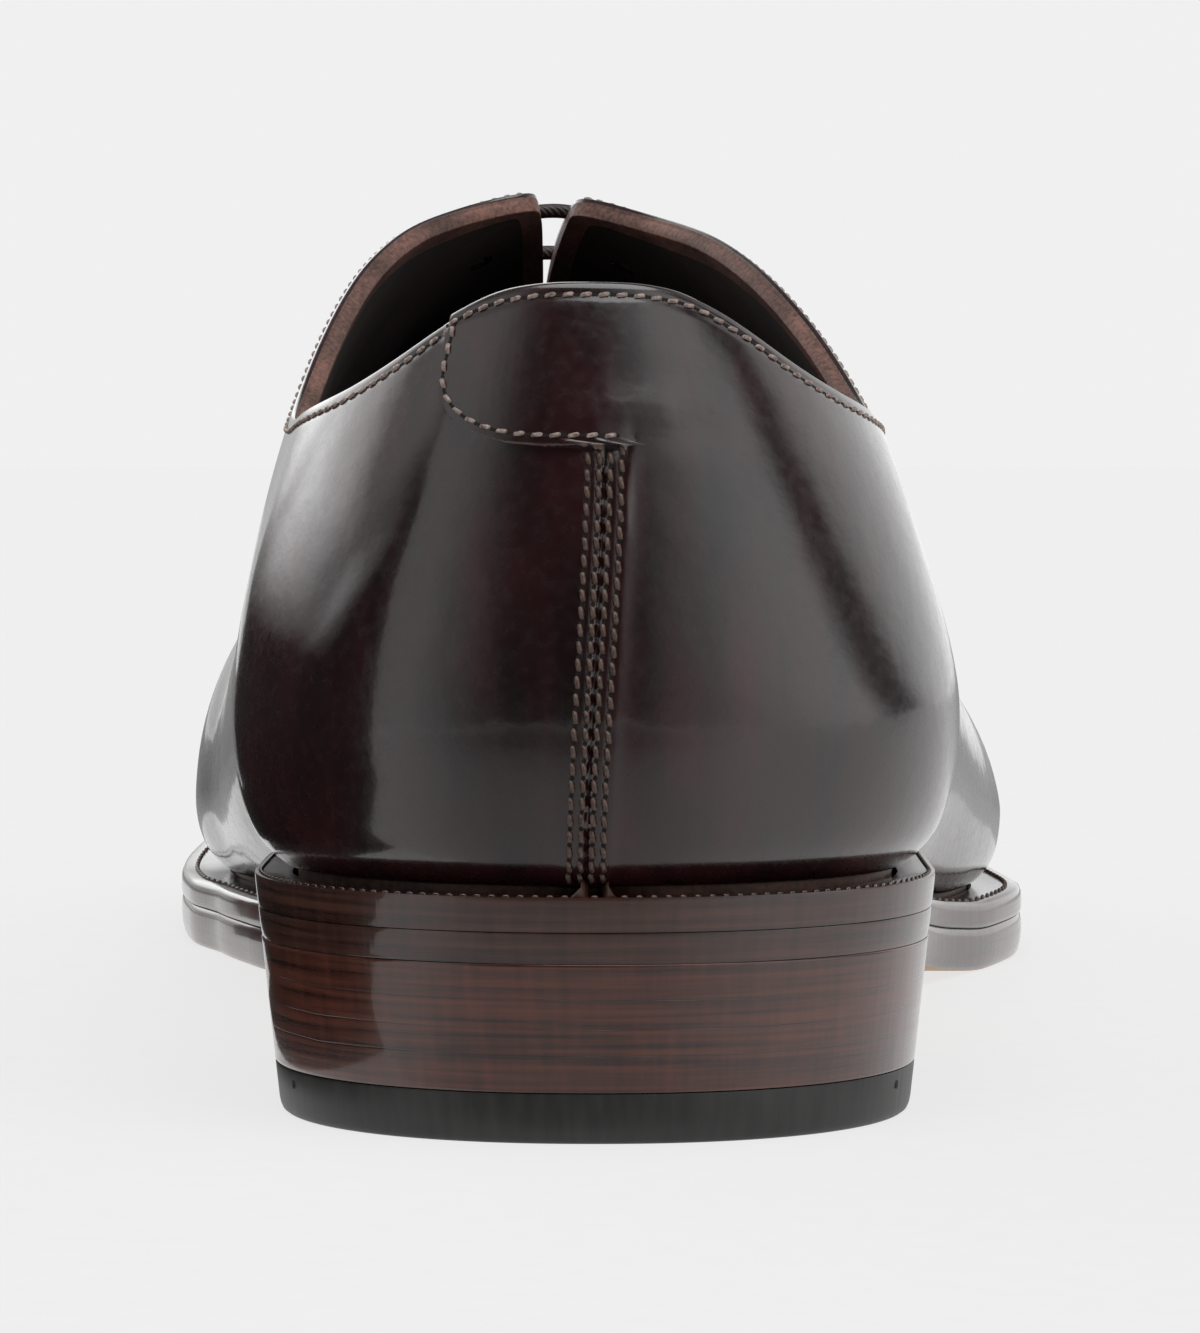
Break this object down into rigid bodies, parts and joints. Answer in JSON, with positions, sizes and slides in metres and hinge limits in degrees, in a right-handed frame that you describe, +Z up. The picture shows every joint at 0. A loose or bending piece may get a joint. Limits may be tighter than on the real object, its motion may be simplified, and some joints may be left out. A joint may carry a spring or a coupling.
{
  "type": "whole cut oxford shoe",
  "caption": "Right dress shoe with a seamless one-piece leather upper, closed lacing, a heel tab, a thin welted leather sole and a stacked heel.",
  "frame": {"origin": "the point on the floor under the middle of the heel", "axes": "+Y from heel to toe, +X to the outer side of the foot, +Z up"},
  "size_m": [0.1118, 0.31, 0.0951],
  "materials": {
    "burgundy_calf": "polished smooth calf, very dark brown with a burgundy cast",
    "brown_lining": "matt brown lining leather",
    "sole_edge": "burnished and waxed sole edge",
    "stacked_leather": "burnished stacked heel leather",
    "black_rubber": "matt charcoal heel rubber",
    "waxed_cord": "round waxed lace"
  },
  "bodies": {
    "root": {"upper": "burgundy_calf", "heel_tab": "burgundy_calf", "tongue": "brown_lining", "insole": "brown_lining", "welt": "sole_edge", "outsole": "sole_edge", "heel_lift_1": "stacked_leather", "heel_lift_2": "stacked_leather", "heel_lift_3": "stacked_leather", "heel_lift_4": "stacked_leather", "top_piece": "black_rubber", "lace_bar_1": "waxed_cord", "lace_bar_2": "waxed_cord", "lace_bar_3": "waxed_cord", "lace_bar_4": "waxed_cord", "lace_bar_5": "waxed_cord"}
  },
  "joints": []
}
